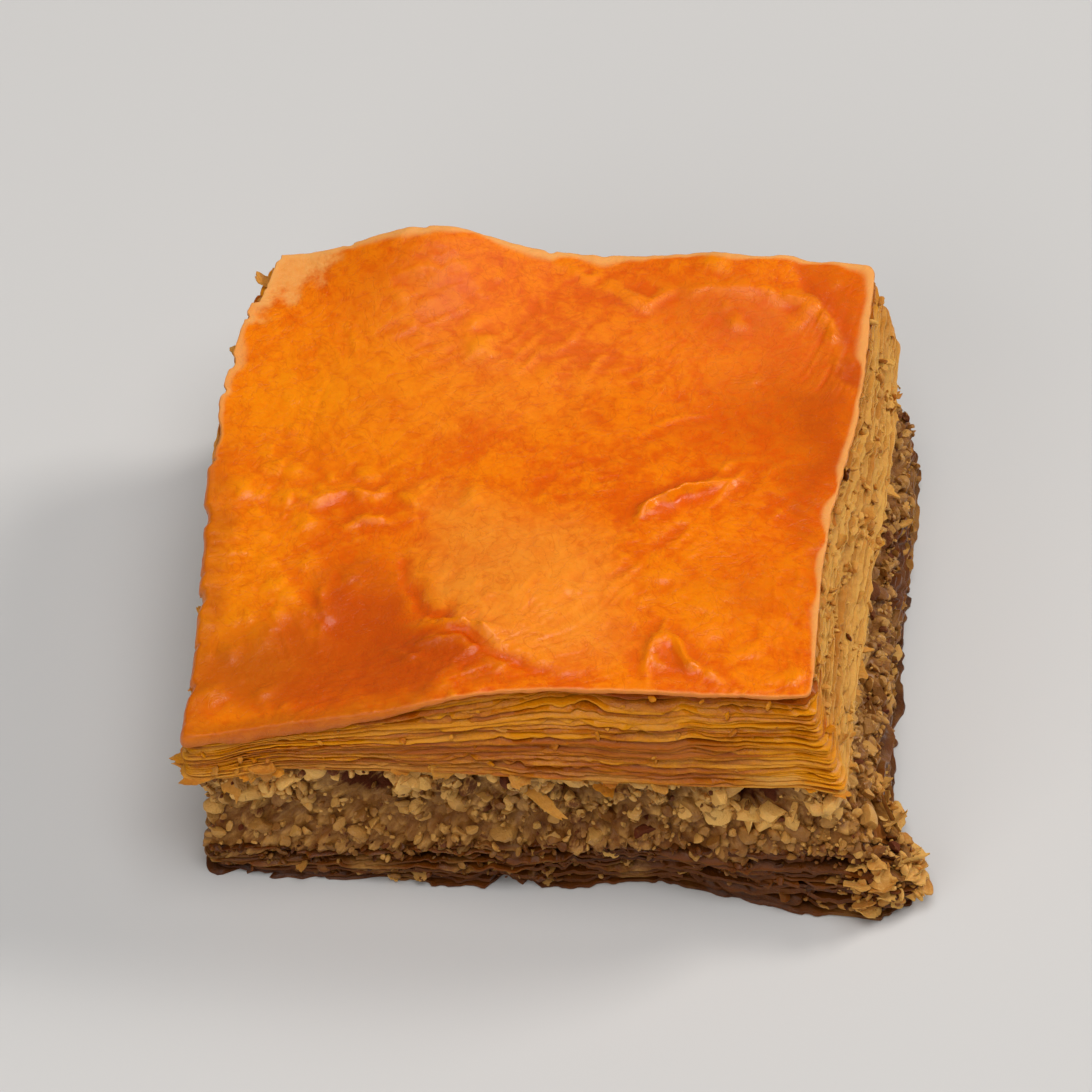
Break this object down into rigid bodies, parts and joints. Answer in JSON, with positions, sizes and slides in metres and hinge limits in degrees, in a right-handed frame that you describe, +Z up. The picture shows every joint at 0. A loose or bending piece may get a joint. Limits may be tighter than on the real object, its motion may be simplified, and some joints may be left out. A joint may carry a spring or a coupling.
{
  "type": "baklava piece",
  "caption": "Square piece of baklava: a glossy browned stack of thin pastry leaves on chopped nuts and a thinner syrup-soaked pastry base.",
  "frame": {"origin": "middle of the bounding box's bottom face, on the surface that the piece rests on", "axes": "+Z up through the layers, -Y towards the front cut face, +X to that face's right"},
  "size_m": [0.0554, 0.0468, 0.0239],
  "materials": {
    "browned_filo": "glossy browned pastry with syrup glaze, paler at the cut leaf edges",
    "chopped_nuts": "moist crumbly chopped nuts, pale tan to brown",
    "soaked_filo": "syrup-soaked pastry leaves, wet and darker"
  },
  "bodies": {
    "root": {"top_pastry": "browned_filo", "nut_filling": "chopped_nuts", "bottom_pastry": "soaked_filo"}
  },
  "joints": []
}
